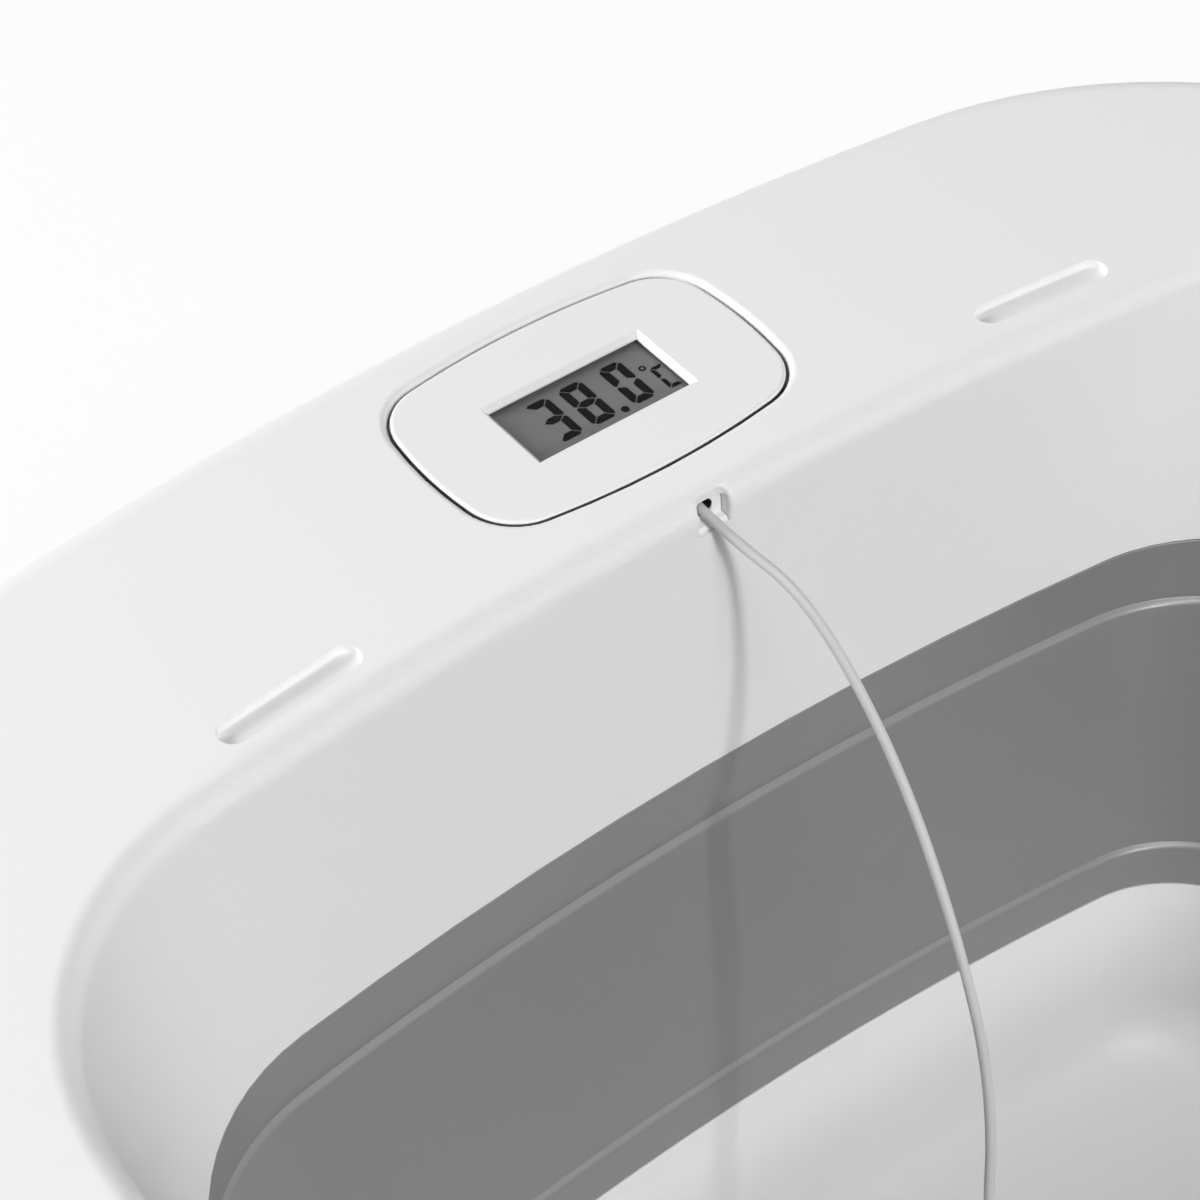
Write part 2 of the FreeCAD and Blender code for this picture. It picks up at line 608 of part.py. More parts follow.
# ---------------------------------------------------------------- drain
def drain_plug():
    """Push-in plug with a grooved stem, a flange on the floor and a flat grip."""
    low = FLOOR_TOP + PLUG_GAP
    stem = DRAIN_RADIUS - PLUG_GAP
    groove_z = FLOOR_TOP - FLOOR_WALL / 2
    depth = DRAIN_RADIUS - 2 * (SEAL_SECTION + SEAL_GAP)
    reach = SEAL_SECTION + SEAL_GAP
    points = [Vector(0, 0, FLOOR_BOTTOM), Vector(stem - PLUG_LEAD, 0, FLOOR_BOTTOM),
              Vector(stem, 0, FLOOR_BOTTOM + PLUG_LEAD),
              Vector(stem, 0, groove_z - reach), Vector(depth, 0, groove_z - reach),
              Vector(depth, 0, groove_z + reach), Vector(stem, 0, groove_z + reach),
              Vector(stem, 0, low), Vector(PLUG_FLANGE, 0, low),
              Vector(PLUG_FLANGE, 0, low + PLUG_FLANGE_WALL - PLUG_BEVEL),
              Vector(PLUG_FLANGE - PLUG_BEVEL, 0, low + PLUG_FLANGE_WALL),
              Vector(0, 0, low + PLUG_FLANGE_WALL)]
    plug = revolved(points, Vector(0, 0, 0), Vector(0, 0, 1))
    half = PLUG_GRIP_WALL / 2
    wide = PLUG_GRIP_WIDTH / 2
    grip = box(-wide, wide, -half, half, low + PLUG_FLANGE_WALL / 2, low + PLUG_FLANGE_WALL + PLUG_GRIP)
    crown = [edge for edge in grip.Edges
             if abs(edge.BoundBox.ZMin - grip.BoundBox.ZMax) < 1e-4 and edge.BoundBox.XLength < 0.01]
    grip = grip.makeFillet(PLUG_GRIP_ROUND, crown)
    plug = plug.fuse(grip)
    plug.translate(Vector(0, DRAIN_Y, 0))
    return plug


def drain_seal():
    """Ring in the plug's groove, just clear of the drain's wall."""
    centre = Vector(0, DRAIN_Y, FLOOR_TOP - FLOOR_WALL / 2)
    ring = DRAIN_RADIUS - SEAL_GAP - SEAL_SECTION
    return Part.makeTorus(ring, SEAL_SECTION, centre, Vector(0, 0, 1))


# ---------------------------------------------------------------- massage rollers
def roller_places(side):
    first = CRADLE_Y - ROLLER_PITCH * (ROLLERS_EACH_SIDE - 1) / 2
    return [(side * CRADLE_X, first + ROLLER_PITCH * step) for step in range(ROLLERS_EACH_SIDE)]


def massage_roller(x, y):
    """Roller with raised rings between waists, turning on its axle along X."""
    pitch = ROLLER_LENGTH / ROLLER_RINGS
    bore = AXLE_RADIUS + RUNNING_GAP
    start = -ROLLER_LENGTH / 2
    points = [Vector(start, 0, bore)]
    for ring in range(ROLLER_RINGS):
        left = start + ring * pitch
        points.append(Vector(left, 0, ROLLER_WAIST))
        points.append(Vector(left + pitch * RING_FOOT, 0, ROLLER_WAIST))
        points.append(Vector(left + pitch * RING_CREST, 0, ROLLER_RADIUS))
        points.append(Vector(left + pitch * (1 - RING_CREST), 0, ROLLER_RADIUS))
        points.append(Vector(left + pitch * (1 - RING_FOOT), 0, ROLLER_WAIST))
    points.append(Vector(-start, 0, ROLLER_WAIST))
    points.append(Vector(-start, 0, bore))
    roller = revolved(points, Vector(0, 0, 0), Vector(1, 0, 0))
    roller.translate(Vector(x, y, ROLLER_Z))
    return roller


def roller_axle(x, y):
    return rod(AXLE_RADIUS, AXLE_LENGTH, Vector(x - AXLE_LENGTH / 2, y, ROLLER_Z), Vector(1, 0, 0))


def roller_cradle(side):
    """Open frame that clips to the floor and carries the axles in its two rails."""
    x = side * CRADLE_X
    half_x = CRADLE_WIDTH / 2
    half_y = CRADLE_LENGTH / 2
    frame = rounded_box(x - half_x, x + half_x, CRADLE_Y - half_y, CRADLE_Y + half_y,
                        CRADLE_UNDER, CRADLE_TOP, CRADLE_CORNER)
    frame = frame.makeFillet(CRADLE_ROUND, flat_edges(frame, CRADLE_TOP))
    inner_x = half_x - CRADLE_RAIL
    inner_y = half_y - CRADLE_BAR
    frame = frame.cut(box(x - inner_x, x + inner_x, CRADLE_Y - inner_y, CRADLE_Y + inner_y,
                          CRADLE_UNDER - 1, CRADLE_TOP + 1))
    length = AXLE_LENGTH + 2 * SEAT_GAP
    for roller_x, y in roller_places(side):
        frame = frame.cut(rod(AXLE_RADIUS + RUNNING_GAP, length,
                              Vector(roller_x - length / 2, y, ROLLER_Z), Vector(1, 0, 0)))
    pegs = [rod(PEG_RADIUS, PEG_DEPTH + SEAT_GAP + 1, Vector(px, py, FLOOR_TOP - PEG_DEPTH))
            for px, py in peg_places(side)]
    return frame.fuse(pegs)


# ---------------------------------------------------------------- thermometer
def thermometer_panel():
    """Face of the thermometer, with the bevelled window over the display."""
    panel = PANEL.prism(0, PANEL_UNDER, PANEL_TOP)
    panel = panel.makeFillet(PANEL_ROUND, flat_edges(panel, PANEL_TOP))
    half_x = WINDOW_WIDTH / 2
    half_y = WINDOW_LENGTH / 2
    window = box(-half_x, half_x, PANEL_Y - half_y, PANEL_Y + half_y, PANEL_UNDER - 1, PANEL_TOP + 1)
    panel = panel.cut(window)
    zone = region(-half_x - 1, half_x + 1, PANEL_Y - half_y - 1, PANEL_Y + half_y + 1,
                  PANEL_TOP - 0.5, PANEL_TOP + 0.5)
    panel = panel.makeChamfer(WINDOW_BEVEL, flat_edges(panel, PANEL_TOP, zone))
    rebate = LENS_LAP + SEAT_GAP
    return panel.cut(centred_plate(half_x + rebate, half_y + rebate, PANEL_UNDER - 1, LENS_TOP))


def centred_plate(half_x, half_y, low, high):
    return box(-half_x, half_x, PANEL_Y - half_y, PANEL_Y + half_y, low, high)


def lcd_lens():
    half_x = WINDOW_WIDTH / 2 + LENS_LAP
    half_y = WINDOW_LENGTH / 2 + LENS_LAP
    return centred_plate(half_x, half_y, LENS_TOP - LENS_WALL, LENS_TOP)


def lcd_panel():
    half_x = WINDOW_WIDTH / 2 + LCD_LAP
    half_y = WINDOW_LENGTH / 2 + LCD_LAP
    return centred_plate(half_x, half_y, LCD_TOP - LCD_WALL, LCD_TOP)


def zebra_strips():
    """The two rubber connectors under the display's long edges."""
    half_x = WINDOW_WIDTH / 2
    far = WINDOW_LENGTH / 2 + LCD_LAP
    strips = []
    for side in (-1, 1):
        y0 = PANEL_Y + side * (far - ZEBRA_WIDTH / 2)
        strips.append(box(-half_x, half_x, y0 - ZEBRA_WIDTH / 2, y0 + ZEBRA_WIDTH / 2, BOARD_TOP, ZEBRA_TOP))
    return Part.makeCompound(strips)


def circuit_board():
    board = PANEL.prism(CASE_INSET + CASE_WALL + BOARD_GAP, BOARD_TOP - BOARD_WALL, BOARD_TOP)
    for x, y in screw_places():
        foot = Vector(x, y, BOARD_TOP - 2 * BOARD_WALL)
        board = board.cut(rod(POST_RADIUS + BOARD_GAP, 3 * BOARD_WALL, foot))
    return board


def coin_cell():
    cell = rod(CELL_RADIUS, CELL_WALL, Vector(0, PANEL_Y, CELL_TOP - CELL_WALL))
    return cell.makeFillet(CELL_ROUND, flat_edges(cell, CELL_TOP - CELL_WALL))


def battery_clip():
    """Spring plate between the cell and the board, with a tongue down each side."""
    low = CELL_TOP + SEAT_GAP / 2
    half = CLIP_WIDTH / 2
    inner = CELL_RADIUS + CLIP_GAP
    outer = inner + CLIP_WALL
    foot = CELL_TOP - CELL_WALL + CLIP_FOOT
    block = box(-outer, outer, PANEL_Y - half, PANEL_Y + half, foot, low + CLIP_WALL)
    return block.cut(box(-inner, inner, PANEL_Y - half - 1, PANEL_Y + half + 1, foot - 1, low))


def screw_places():
    return [(x, PANEL_Y + y) for x in (-SCREW_X, SCREW_X) for y in (-SCREW_Y, SCREW_Y)]


def thermometer_case():
    """Tray under the panel: a wall, a floor with the round battery port and four screw posts."""
    case = PANEL.prism(CASE_INSET, CASE_UNDER, CASE_TOP)
    case = case.cut(PANEL.prism(CASE_INSET + CASE_WALL, CASE_UNDER + CASE_WALL, CASE_TOP + 1))
    foot = CASE_UNDER + CASE_WALL / 2
    posts = [rod(POST_RADIUS, CASE_TOP - foot, Vector(x, y, foot)) for x, y in screw_places()]
    track = COVER_RADIUS + LUG + COVER_GAP
    collar_top = CASE_UNDER + COVER_WALL + 2 * LUG
    collar = rod(track + COLLAR_WALL, collar_top - foot, Vector(0, PANEL_Y, foot))
    case = case.fuse(posts + [collar])
    below = CASE_UNDER - 1
    above = CASE_TOP - CASE_UNDER + 2
    port = rod(COVER_RADIUS + COVER_GAP, above, Vector(0, PANEL_Y, below))
    ring = rod(track, LUG + 2 * COVER_GAP, Vector(0, PANEL_Y, CASE_UNDER + COVER_WALL - COVER_GAP))
    reach = LUG_HALF + COVER_GAP
    entry = box(-track, track, PANEL_Y - reach, PANEL_Y + reach, below, CASE_UNDER + COVER_WALL)
    entry.rotate(Vector(0, PANEL_Y, 0), Vector(0, 0, 1), -COVER_TURN)
    holes = [rod(SCREW_RADIUS + SCREW_GAP, above, Vector(x, y, below)) for x, y in screw_places()]
    seats = [rod(SCREW_HEAD + SCREW_GAP, SCREW_SINK + 1, Vector(x, y, below)) for x, y in screw_places()]
    return case.cut([port, ring, entry] + holes + seats)


def battery_cover():
    """Round cover with a coin slot and two bayonet lugs."""
    cover = rod(COVER_RADIUS, COVER_WALL + LUG, Vector(0, PANEL_Y, CASE_UNDER + SEAT_GAP))
    reach = COVER_RADIUS + LUG
    lugs = rod(reach, LUG, Vector(0, PANEL_Y, CASE_UNDER + COVER_WALL))
    lugs = lugs.common(box(-reach, reach, PANEL_Y - LUG_HALF, PANEL_Y + LUG_HALF, 0, HEIGHT))
    half = COVER_SLOT_LENGTH / 2
    slot = box(-half, half, PANEL_Y - COVER_SLOT / 2, PANEL_Y + COVER_SLOT / 2,
               CASE_UNDER - 1, CASE_UNDER + COVER_SLOT_DEPTH)
    return cover.fuse(lugs).cut(slot)


def case_gasket():
    ring = PANEL.prism(CASE_INSET, CASE_TOP, PANEL_UNDER)
    return ring.cut(PANEL.prism(CASE_INSET + CASE_WALL, CASE_TOP - 1, PANEL_UNDER + 1))


def case_screws():
    """Four screws up through the case's posts."""
    screws = []
    for x, y in screw_places():
        foot = Vector(x, y, CASE_UNDER)
        shank = rod(SCREW_RADIUS, CASE_TOP - SCREW_END_GAP - CASE_UNDER, foot)
        screws.append(shank.fuse(rod(SCREW_HEAD, SCREW_HEAD_WALL, foot)))
    return Part.makeCompound(screws)


# ---------------------------------------------------------------- cord
def tangent_path(points, bend):
    """Straight runs joined by tangent arcs; returns the wire and the arcs' radii."""
    vectors = [Vector(*point) for point in points]
    edges = []
    radii = []
    here = vectors[0]
    for before, at, after in zip(vectors, vectors[1:], vectors[2:]):
        back = (before - at).normalize()
        ahead = (after - at).normalize()
        cut = bend * min((before - at).Length, (after - at).Length)
        enter = at + back * cut
        leave = at + ahead * cut
        turn = math.pi - back.getAngle(ahead)
        radius = cut / math.tan(turn / 2)
        bisector = (back + ahead).normalize()
        deep = at + bisector * (radius / math.cos(turn / 2) - radius)
        edges.append(Part.LineSegment(here, enter).toShape())
        edges.append(Part.Arc(enter, deep, leave).toShape())
        radii.append(radius)
        here = leave
    edges.append(Part.LineSegment(here, vectors[-1]).toShape())
    return Part.Wire(edges), radii


def probe_cord():
    path, radii = tangent_path(CORD_ROUTE, CORD_BEND)
    start = path.Edges[0]
    direction = start.tangentAt(start.FirstParameter)
    section = Part.Wire([Part.makeCircle(CORD_DIAMETER / 2, start.valueAt(start.FirstParameter), direction)])
    tube = path.makePipeShell([section], True, True)
    ideal = math.pi * CORD_DIAMETER ** 2 / 4 * path.Length
    print("cord length", round(path.Length, 1), "volume share", round(tube.Volume / ideal, 4))
    print("cord radii in diameters", [round(radius / CORD_DIAMETER, 1) for radius in radii])
    return tube


def sensor_probe():
    """Sealed capsule at the cord's end, lying on the floor."""
    end = Vector(*CORD_ROUTE[-1])
    along = (end - Vector(*CORD_ROUTE[-2])).normalize()
    body = rod(PROBE_RADIUS, PROBE_LENGTH, end, along)
    return body.makeFillet(PROBE_RADIUS * 0.6, [edge for edge in body.Edges if edge.Closed])


# ---------------------------------------------------------------- write every piece
def main():
    os.makedirs("parts", exist_ok=True)
    write("rim_shell", rim_shell())
    write("cord_grommet", cord_grommet())
    write("collapsible_band", collapsible_band())
    write("base_shell", base_shell())
    for number, (x, y) in enumerate(feet_places(), 1):
        write(f"foot_pad_{number}", foot_pad(x, y))
    write("drain_plug", drain_plug())
    write("drain_seal", drain_seal())
    number = 0
    for side, name in ((-1, "left"), (1, "right")):
        write(f"roller_cradle_{name}", roller_cradle(side))
        for x, y in roller_places(side):
            number += 1
            write(f"massage_roller_{number}", massage_roller(x, y))
            write(f"roller_axle_{number}", roller_axle(x, y))
    write("thermometer_panel", thermometer_panel())
    write("lcd_lens", lcd_lens())
    write("lcd_panel", lcd_panel())
    write("zebra_strips", zebra_strips())
    write("circuit_board", circuit_board())
    write("coin_cell", coin_cell())
    write("battery_clip", battery_clip())
    write("thermometer_case", thermometer_case())
    write("battery_cover", battery_cover())
    write("case_gasket", case_gasket())
    write("case_screws", case_screws())
    write("probe_cord", probe_cord())
    write("sensor_probe", sensor_probe())


main()
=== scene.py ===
# %% [markdown]
# # A collapsible foot spa basin
# The CAD model arrives as a fixed frame: every rigid piece already has its true shape and place,
# in metres, with +Z up. This script gives those pieces their finishes and adds what a rigid solid
# can't be: the soft folding band, the limp cord and the black segments of the display.

# %% Load the frame
import json
import math

import bpy
import numpy as np
from mathutils import Matrix, Vector


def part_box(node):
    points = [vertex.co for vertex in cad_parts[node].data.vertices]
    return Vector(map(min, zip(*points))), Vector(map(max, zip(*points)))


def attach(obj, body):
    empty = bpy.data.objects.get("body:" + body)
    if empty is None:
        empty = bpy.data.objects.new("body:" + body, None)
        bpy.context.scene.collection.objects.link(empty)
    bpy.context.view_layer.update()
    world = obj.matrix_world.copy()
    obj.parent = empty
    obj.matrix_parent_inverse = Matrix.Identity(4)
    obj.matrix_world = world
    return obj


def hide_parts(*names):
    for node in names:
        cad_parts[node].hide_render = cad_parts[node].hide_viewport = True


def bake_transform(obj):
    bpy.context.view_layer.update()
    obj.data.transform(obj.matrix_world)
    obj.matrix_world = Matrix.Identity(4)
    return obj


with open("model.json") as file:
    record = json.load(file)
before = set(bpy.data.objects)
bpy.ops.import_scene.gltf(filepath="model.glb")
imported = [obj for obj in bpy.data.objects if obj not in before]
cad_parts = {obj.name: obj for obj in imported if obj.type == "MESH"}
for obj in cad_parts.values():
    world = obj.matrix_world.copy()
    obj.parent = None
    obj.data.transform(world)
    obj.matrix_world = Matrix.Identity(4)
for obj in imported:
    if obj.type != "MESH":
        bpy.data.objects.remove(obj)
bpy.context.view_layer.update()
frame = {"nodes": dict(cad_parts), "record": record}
node = frame["nodes"]

MM = 0.001


def edges_of(name):
    """Lowest and highest corner of a CAD node as two numpy rows, in metres."""
    low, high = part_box(name)
    return np.array(low), np.array(high)


# %% [markdown]
# ## Camera
# A camera is a place, three turns and a lens. Yaw turns it from +Y towards +X, dip tips it down,
# and roll turns the picture about its own middle. The turns are made into one rotation matrix
# whose columns are the picture's right, its up, and the way back from the object.

# %% Camera
CAMERA_PLACE = (-0.25755, -0.14425, 0.5753)
CAMERA_YAW = 38.167
CAMERA_DIP = 45.381
CAMERA_ROLL = 0.498
CAMERA_LENS = 99.58       # on a sensor 36 mm wide


def camera_turn(yaw, dip, roll):
    """Rotation whose -Z looks along the yaw and dip, and whose picture is turned by roll."""
    a, e, r = (math.radians(value) for value in (yaw, dip, roll))
    ahead = Vector((math.sin(a) * math.cos(e), math.cos(a) * math.cos(e), -math.sin(e)))
    right = Vector((math.cos(a), -math.sin(a), 0))
    up = right.cross(ahead)
    turned_right = right * math.cos(r) + up * math.sin(r)
    turned_up = up * math.cos(r) - right * math.sin(r)
    return Matrix((turned_right, turned_up, -ahead)).transposed()


camera = bpy.data.objects.new("camera", bpy.data.cameras.new("camera"))
camera.data.sensor_width = 36
camera.data.lens = CAMERA_LENS
camera.data.clip_start = 0.01
camera.location = CAMERA_PLACE
camera.rotation_euler = camera_turn(CAMERA_YAW, CAMERA_DIP, CAMERA_ROLL).to_euler()
bpy.context.scene.collection.objects.link(camera)
bpy.context.scene.camera = camera
print("camera", tuple(round(value, 3) for value in camera.location))

# %% [markdown]
# ## Light
# White plastic shows its form only where the light falls off, so the lamps are few. The key stands
# to the left beyond the thermometer end, low enough to shade the grooves. A small one stands
# straight in front and lays the cord's shadow on the wall. A broad one high above it reaches the
# basin's floor, and the world fills the rest. Together they light a level surface at about strength
# 1, so that colours render as written.

# %% Lamps
MIDDLE = Vector((0, 0, 0.15))


def softbox(name, place, size, share):
    """Square area lamp aimed at the basin; share is its part of full light on a facing surface.

    Its power in watts is share * pi squared * the square of its distance.
    """
    lamp = bpy.data.lights.new(name, "AREA")
    lamp.shape = "SQUARE"
    lamp.size = size
    back = Vector(place) - MIDDLE
    lamp.energy = share * math.pi ** 2 * back.length_squared
    holder = bpy.data.objects.new(name, lamp)
    holder.location = place
    holder.rotation_euler = back.to_track_quat("Z", "Y").to_euler()
    bpy.context.scene.collection.objects.link(holder)
    return lamp.energy


LAMPS = (                 # name, place, size, share
    ("key", (-1.1, 1.15, 0.78), 0.6, 0.87),
    ("front", (0.0, -1.5, 0.95), 0.14, 0.36),
    ("fill", (-0.2, -1.3, 2.0), 0.9, 0.38),
)
for lamp in LAMPS:
    print(lamp[0], round(softbox(*lamp), 1), "W")

# %% [markdown]
# ## White behind the object
# A pale backdrop must not light the object more than the lamps allow. The Light Path node tells what
# kind of ray arrives: the camera, gloss and clear plastic see plain white, and every other ray gets
# the dimmer strength. The same mask serves the floor below.

# %% World
WORLD_LIGHT = 0.17


def worked(tree, kind, operation, *given):
    """Math or Vector Math node of a kind; each thing given is a number or the socket that feeds it."""
    step = tree.nodes.new(kind)
    step.operation = operation
    for socket, source in zip(step.inputs, given):
        if isinstance(source, bpy.types.NodeSocket):
            tree.links.new(source, socket)
        else:
            socket.default_value = source
    return step


def seen_plainly(tree):
    """Mask of 1 for camera, glossy and transmission rays and 0 for all others."""
    rays = tree.nodes.new("ShaderNodeLightPath").outputs
    either = worked(tree, "ShaderNodeMath", "MAXIMUM", rays["Is Camera Ray"], rays["Is Glossy Ray"])
    seen = worked(tree, "ShaderNodeMath", "MAXIMUM", either.outputs[0], rays["Is Transmission Ray"])
    return seen.outputs[0]


world = bpy.data.worlds.new("studio")
bpy.context.scene.world = world
world.use_nodes = True
backdrop = world.node_tree.nodes["Background"]
backdrop.inputs["Color"].default_value = (1, 1, 1, 1)
strength = world.node_tree.nodes.new("ShaderNodeMapRange")
strength.inputs["To Min"].default_value = WORLD_LIGHT
strength.inputs["To Max"].default_value = 1
world.node_tree.links.new(seen_plainly(world.node_tree), strength.inputs["Value"])
world.node_tree.links.new(strength.outputs["Result"], backdrop.inputs["Strength"])

bpy.context.scene.view_settings.view_transform = "Standard"
print("world light", WORLD_LIGHT)

# %% [markdown]
# ## Floor
# A level sheet under the feet. It is a stage, not part of the basin. What the camera sees of it is
# mostly plain white, with a share of the lit surface left in so that it keeps a soft shadow.

# %% Floor
FLOOR_REACH = 4.0
FLOOR_LIT_SHARE = 0.10    # of the lit surface in what the camera sees
FLOOR_TONE = 0.92


def new_piece(name, points, faces):
    """Object at the origin whose mesh has an array of points, and faces as lists of their indices."""
    mesh = bpy.data.meshes.new(name)
    mesh.from_pydata(points.tolist(), [], faces)
    mesh.update()
    piece = bpy.data.objects.new(name, mesh)
    bpy.context.scene.collection.objects.link(piece)
    return piece


square = np.array([(-1, -1, 0), (1, -1, 0), (1, 1, 0), (-1, 1, 0)]) * FLOOR_REACH
floor = new_piece("floor", square, [(0, 1, 2, 3)])

floor_paint = bpy.data.materials.new("pale floor")
floor_paint.use_nodes = True
tree = floor_paint.node_tree
tree.nodes.clear()
lit = tree.nodes.new("ShaderNodeBsdfDiffuse")
lit.inputs["Color"].default_value = (FLOOR_TONE, FLOOR_TONE, FLOOR_TONE, 1)
glow = tree.nodes.new("ShaderNodeEmission")
glow.inputs["Color"].default_value = (1, 1, 1, 1)
share = worked(tree, "ShaderNodeMath", "MULTIPLY", seen_plainly(tree), 1 - FLOOR_LIT_SHARE)
mixed = tree.nodes.new("ShaderNodeMixShader")
tree.links.new(share.outputs[0], mixed.inputs[0])
tree.links.new(lit.outputs[0], mixed.inputs[1])
tree.links.new(glow.outputs[0], mixed.inputs[2])
sheet = tree.nodes.new("ShaderNodeOutputMaterial")
tree.links.new(mixed.outputs[0], sheet.inputs["Surface"])
floor.data.materials.append(floor_paint)
print("floor", FLOOR_REACH * 2, "m square")

# %% [markdown]
# ## Finishes
# Moulded plastic is never quite even: its tone drifts a little over a hand's breadth, its gloss is
# broken by the mould's fine spark texture, and that texture also tilts the surface. All three come
# from noise on Object coordinates. One node group holds the recipe, and each material places it
# with its own colour, drift and grain, then feeds its own shader.

# %% Node group for moulded skins
DRIFT_IN_GLOSS = 0.6      # the drift's part in the gloss mask, and the fine grain has the rest


def moulded_skin_group():
    """Noise for a moulded skin: drifting colour, a gloss mask from 0 to 1, and a height."""
    group = bpy.data.node_groups.new("moulded skin", "ShaderNodeTree")
    face = group.interface
    face.new_socket("Vector", in_out="INPUT", socket_type="NodeSocketVector")
    face.new_socket("Light tone", in_out="INPUT", socket_type="NodeSocketColor")
    face.new_socket("Dark tone", in_out="INPUT", socket_type="NodeSocketColor")
    face.new_socket("Drift scale", in_out="INPUT", socket_type="NodeSocketFloat")
    face.new_socket("Grain scale", in_out="INPUT", socket_type="NodeSocketFloat")
    face.new_socket("Colour", in_out="OUTPUT", socket_type="NodeSocketColor")
    face.new_socket("Gloss mask", in_out="OUTPUT", socket_type="NodeSocketFloat")
    face.new_socket("Height", in_out="OUTPUT", socket_type="NodeSocketFloat")
    entry = group.nodes.new("NodeGroupInput")
    way_out = group.nodes.new("NodeGroupOutput")
    drift = group.nodes.new("ShaderNodeTexNoise")
    drift.inputs["Detail"].default_value = 3
    grain = group.nodes.new("ShaderNodeTexNoise")
    grain.inputs["Detail"].default_value = 2
    tone = group.nodes.new("ShaderNodeMix")
    tone.data_type = "RGBA"
    link = group.links.new
    link(entry.outputs["Vector"], drift.inputs["Vector"])
    link(entry.outputs["Vector"], grain.inputs["Vector"])
    link(entry.outputs["Drift scale"], drift.inputs["Scale"])
    link(entry.outputs["Grain scale"], grain.inputs["Scale"])
    link(drift.outputs["Fac"], tone.inputs["Factor"])
    link(entry.outputs["Light tone"], tone.inputs["A"])
    link(entry.outputs["Dark tone"], tone.inputs["B"])
    link(tone.outputs["Result"], way_out.inputs["Colour"])
    link(grain.outputs["Fac"], way_out.inputs["Height"])
    fine = worked(group, "ShaderNodeMath", "MULTIPLY", grain.outputs["Fac"], 1 - DRIFT_IN_GLOSS)
    both = worked(group, "ShaderNodeMath", "MULTIPLY_ADD", drift.outputs["Fac"], DRIFT_IN_GLOSS,
                  fine.outputs[0])
    link(both.outputs[0], way_out.inputs["Gloss mask"])
    return group


MOULDED_SKIN = moulded_skin_group()
print("group sockets:", [socket.name for socket in MOULDED_SKIN.interface.items_tree])

# %% Colours
def grey(level):
    """Neutral colour from a screen level of 0 to 255, as linear light."""
    share = level / 255
    linear = ((share + 0.055) / 1.055) ** 2.4
    return (linear, linear, linear, 1)


def toned(level, red=1.0, blue=1.0):
    """Screen grey of that level, its red and blue scaled to warm or cool it."""
    base = grey(level)
    return (base[0] * red, base[1], base[2] * blue, 1)


print("screen grey 128 as light:", round(grey(128)[0], 3))

# %% Moulded material
def moulded(name, light, dark, rough, drift=7, grain=1500, bump=0.08, depth=0.05 * MM):
    """Moulded plastic or rubber; rough is the lowest and highest roughness over its surface."""
    material = bpy.data.materials.new(name)
    material.use_nodes = True
    tree = material.node_tree
    shader = tree.nodes["Principled BSDF"]
    place = tree.nodes.new("ShaderNodeTexCoord")
    skin = tree.nodes.new("ShaderNodeGroup")
    skin.node_tree = MOULDED_SKIN
    skin.inputs["Light tone"].default_value = light
    skin.inputs["Dark tone"].default_value = dark
    skin.inputs["Drift scale"].default_value = drift
    skin.inputs["Grain scale"].default_value = grain
    tree.links.new(place.outputs["Object"], skin.inputs["Vector"])
    tree.links.new(skin.outputs["Colour"], shader.inputs["Base Color"])
    gloss = tree.nodes.new("ShaderNodeMapRange")
    gloss.inputs["To Min"].default_value = rough[0]
    gloss.inputs["To Max"].default_value = rough[1]
    tree.links.new(skin.outputs["Gloss mask"], gloss.inputs["Value"])
    tree.links.new(gloss.outputs["Result"], shader.inputs["Roughness"])
    relief = tree.nodes.new("ShaderNodeBump")
    relief.inputs["Strength"].default_value = bump
    relief.inputs["Distance"].default_value = depth
    tree.links.new(skin.outputs["Height"], relief.inputs["Height"])
    tree.links.new(relief.outputs["Normal"], shader.inputs["Normal"])
    return material


# %% [markdown]
# ## Shade in narrow places
# On the real basin the joint round the thermometer's cover and the hole beside the cord look almost
# black. In a render of clean white plastic they come out grey, because their walls throw the light
# to and fro. Deeper cuts could mend that, but the solids stay as they are, so the skin in there gets
# a dark tone of painted shade. A mask worked out from Object coordinates says where, and it stays
# with the piece in every pose and view.

# %% Masks in Object coordinates
JOINT_FADE = 0.15 * MM    # over which the shade in a joint comes in


def paint_where(tree, mask, tone):
    """Mix a dark tone of painted shade over the shader's base colour where the mask is 1."""
    colour = tree.nodes["Principled BSDF"].inputs["Base Color"]
    mix = tree.nodes.new("ShaderNodeMix")
    mix.data_type = "RGBA"
    mix.inputs["B"].default_value = tone
    tree.links.new(mask, mix.inputs["Factor"])
    tree.links.new(colour.links[0].from_socket, mix.inputs["A"])
    tree.links.new(mix.outputs["Result"], colour)


def offset_from(tree, place):
    """Socket of P - place, where P is the point in Object coordinates."""
    point = tree.nodes.new("ShaderNodeTexCoord").outputs["Object"]
    return worked(tree, "ShaderNodeVectorMath", "SUBTRACT", point, place).outputs[0]


def parts_of(tree, vector):
    """Sockets X, Y and Z of a vector socket."""
    split = tree.nodes.new("ShaderNodeSeparateXYZ")
    tree.links.new(vector, split.inputs[0])
    return split.outputs


